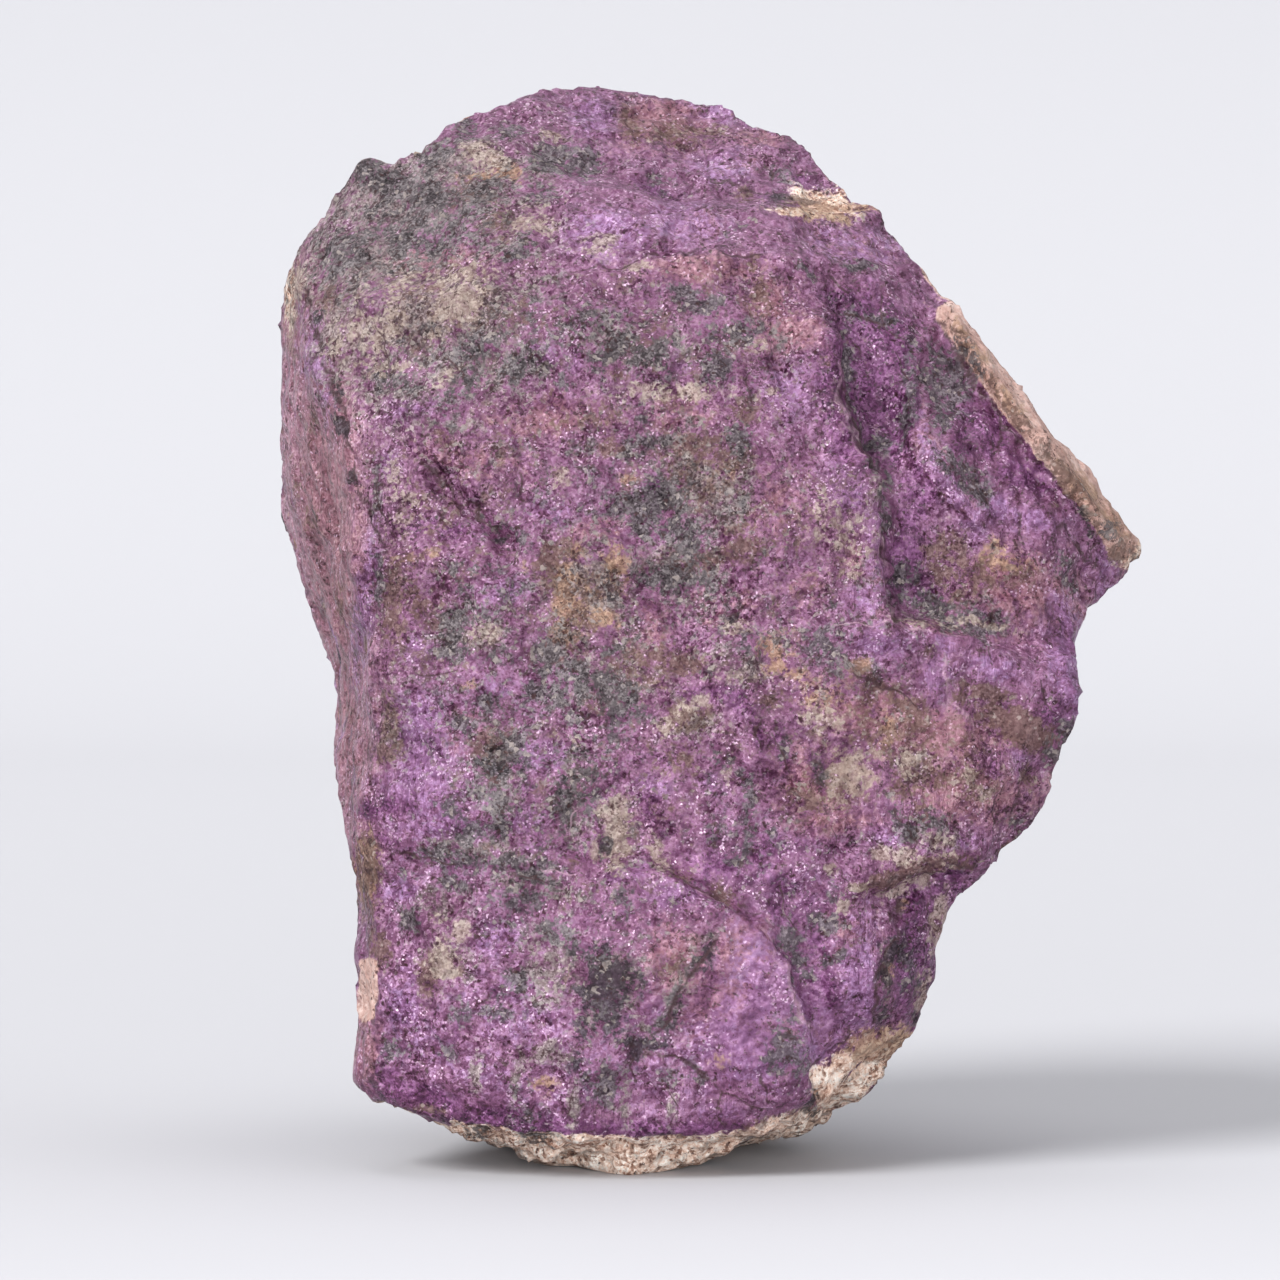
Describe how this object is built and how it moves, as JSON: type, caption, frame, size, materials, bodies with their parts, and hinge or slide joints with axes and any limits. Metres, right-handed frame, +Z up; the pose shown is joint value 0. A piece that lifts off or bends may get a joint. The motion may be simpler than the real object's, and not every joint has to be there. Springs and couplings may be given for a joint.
{
  "type": "rough purpurite stone",
  "caption": "Rough upright purpurite stone with ledges, a stepped recess, a pointed side spur and pale crust, standing on a small flat spot.",
  "frame": {"origin": "on the surface the stone stands on, below the middle of its width and depth", "axes": "+Z up, -Y towards the viewer of the picture, +X towards the pointed spur"},
  "size_m": [0.0602, 0.0398, 0.0745],
  "materials": {
    "purpurite_stone": "rough broken purple mineral with a fine sparkle, grey-green and brown patches and a dull cream crust"
  },
  "bodies": {
    "root": {"purpurite": "purpurite_stone"}
  },
  "joints": []
}
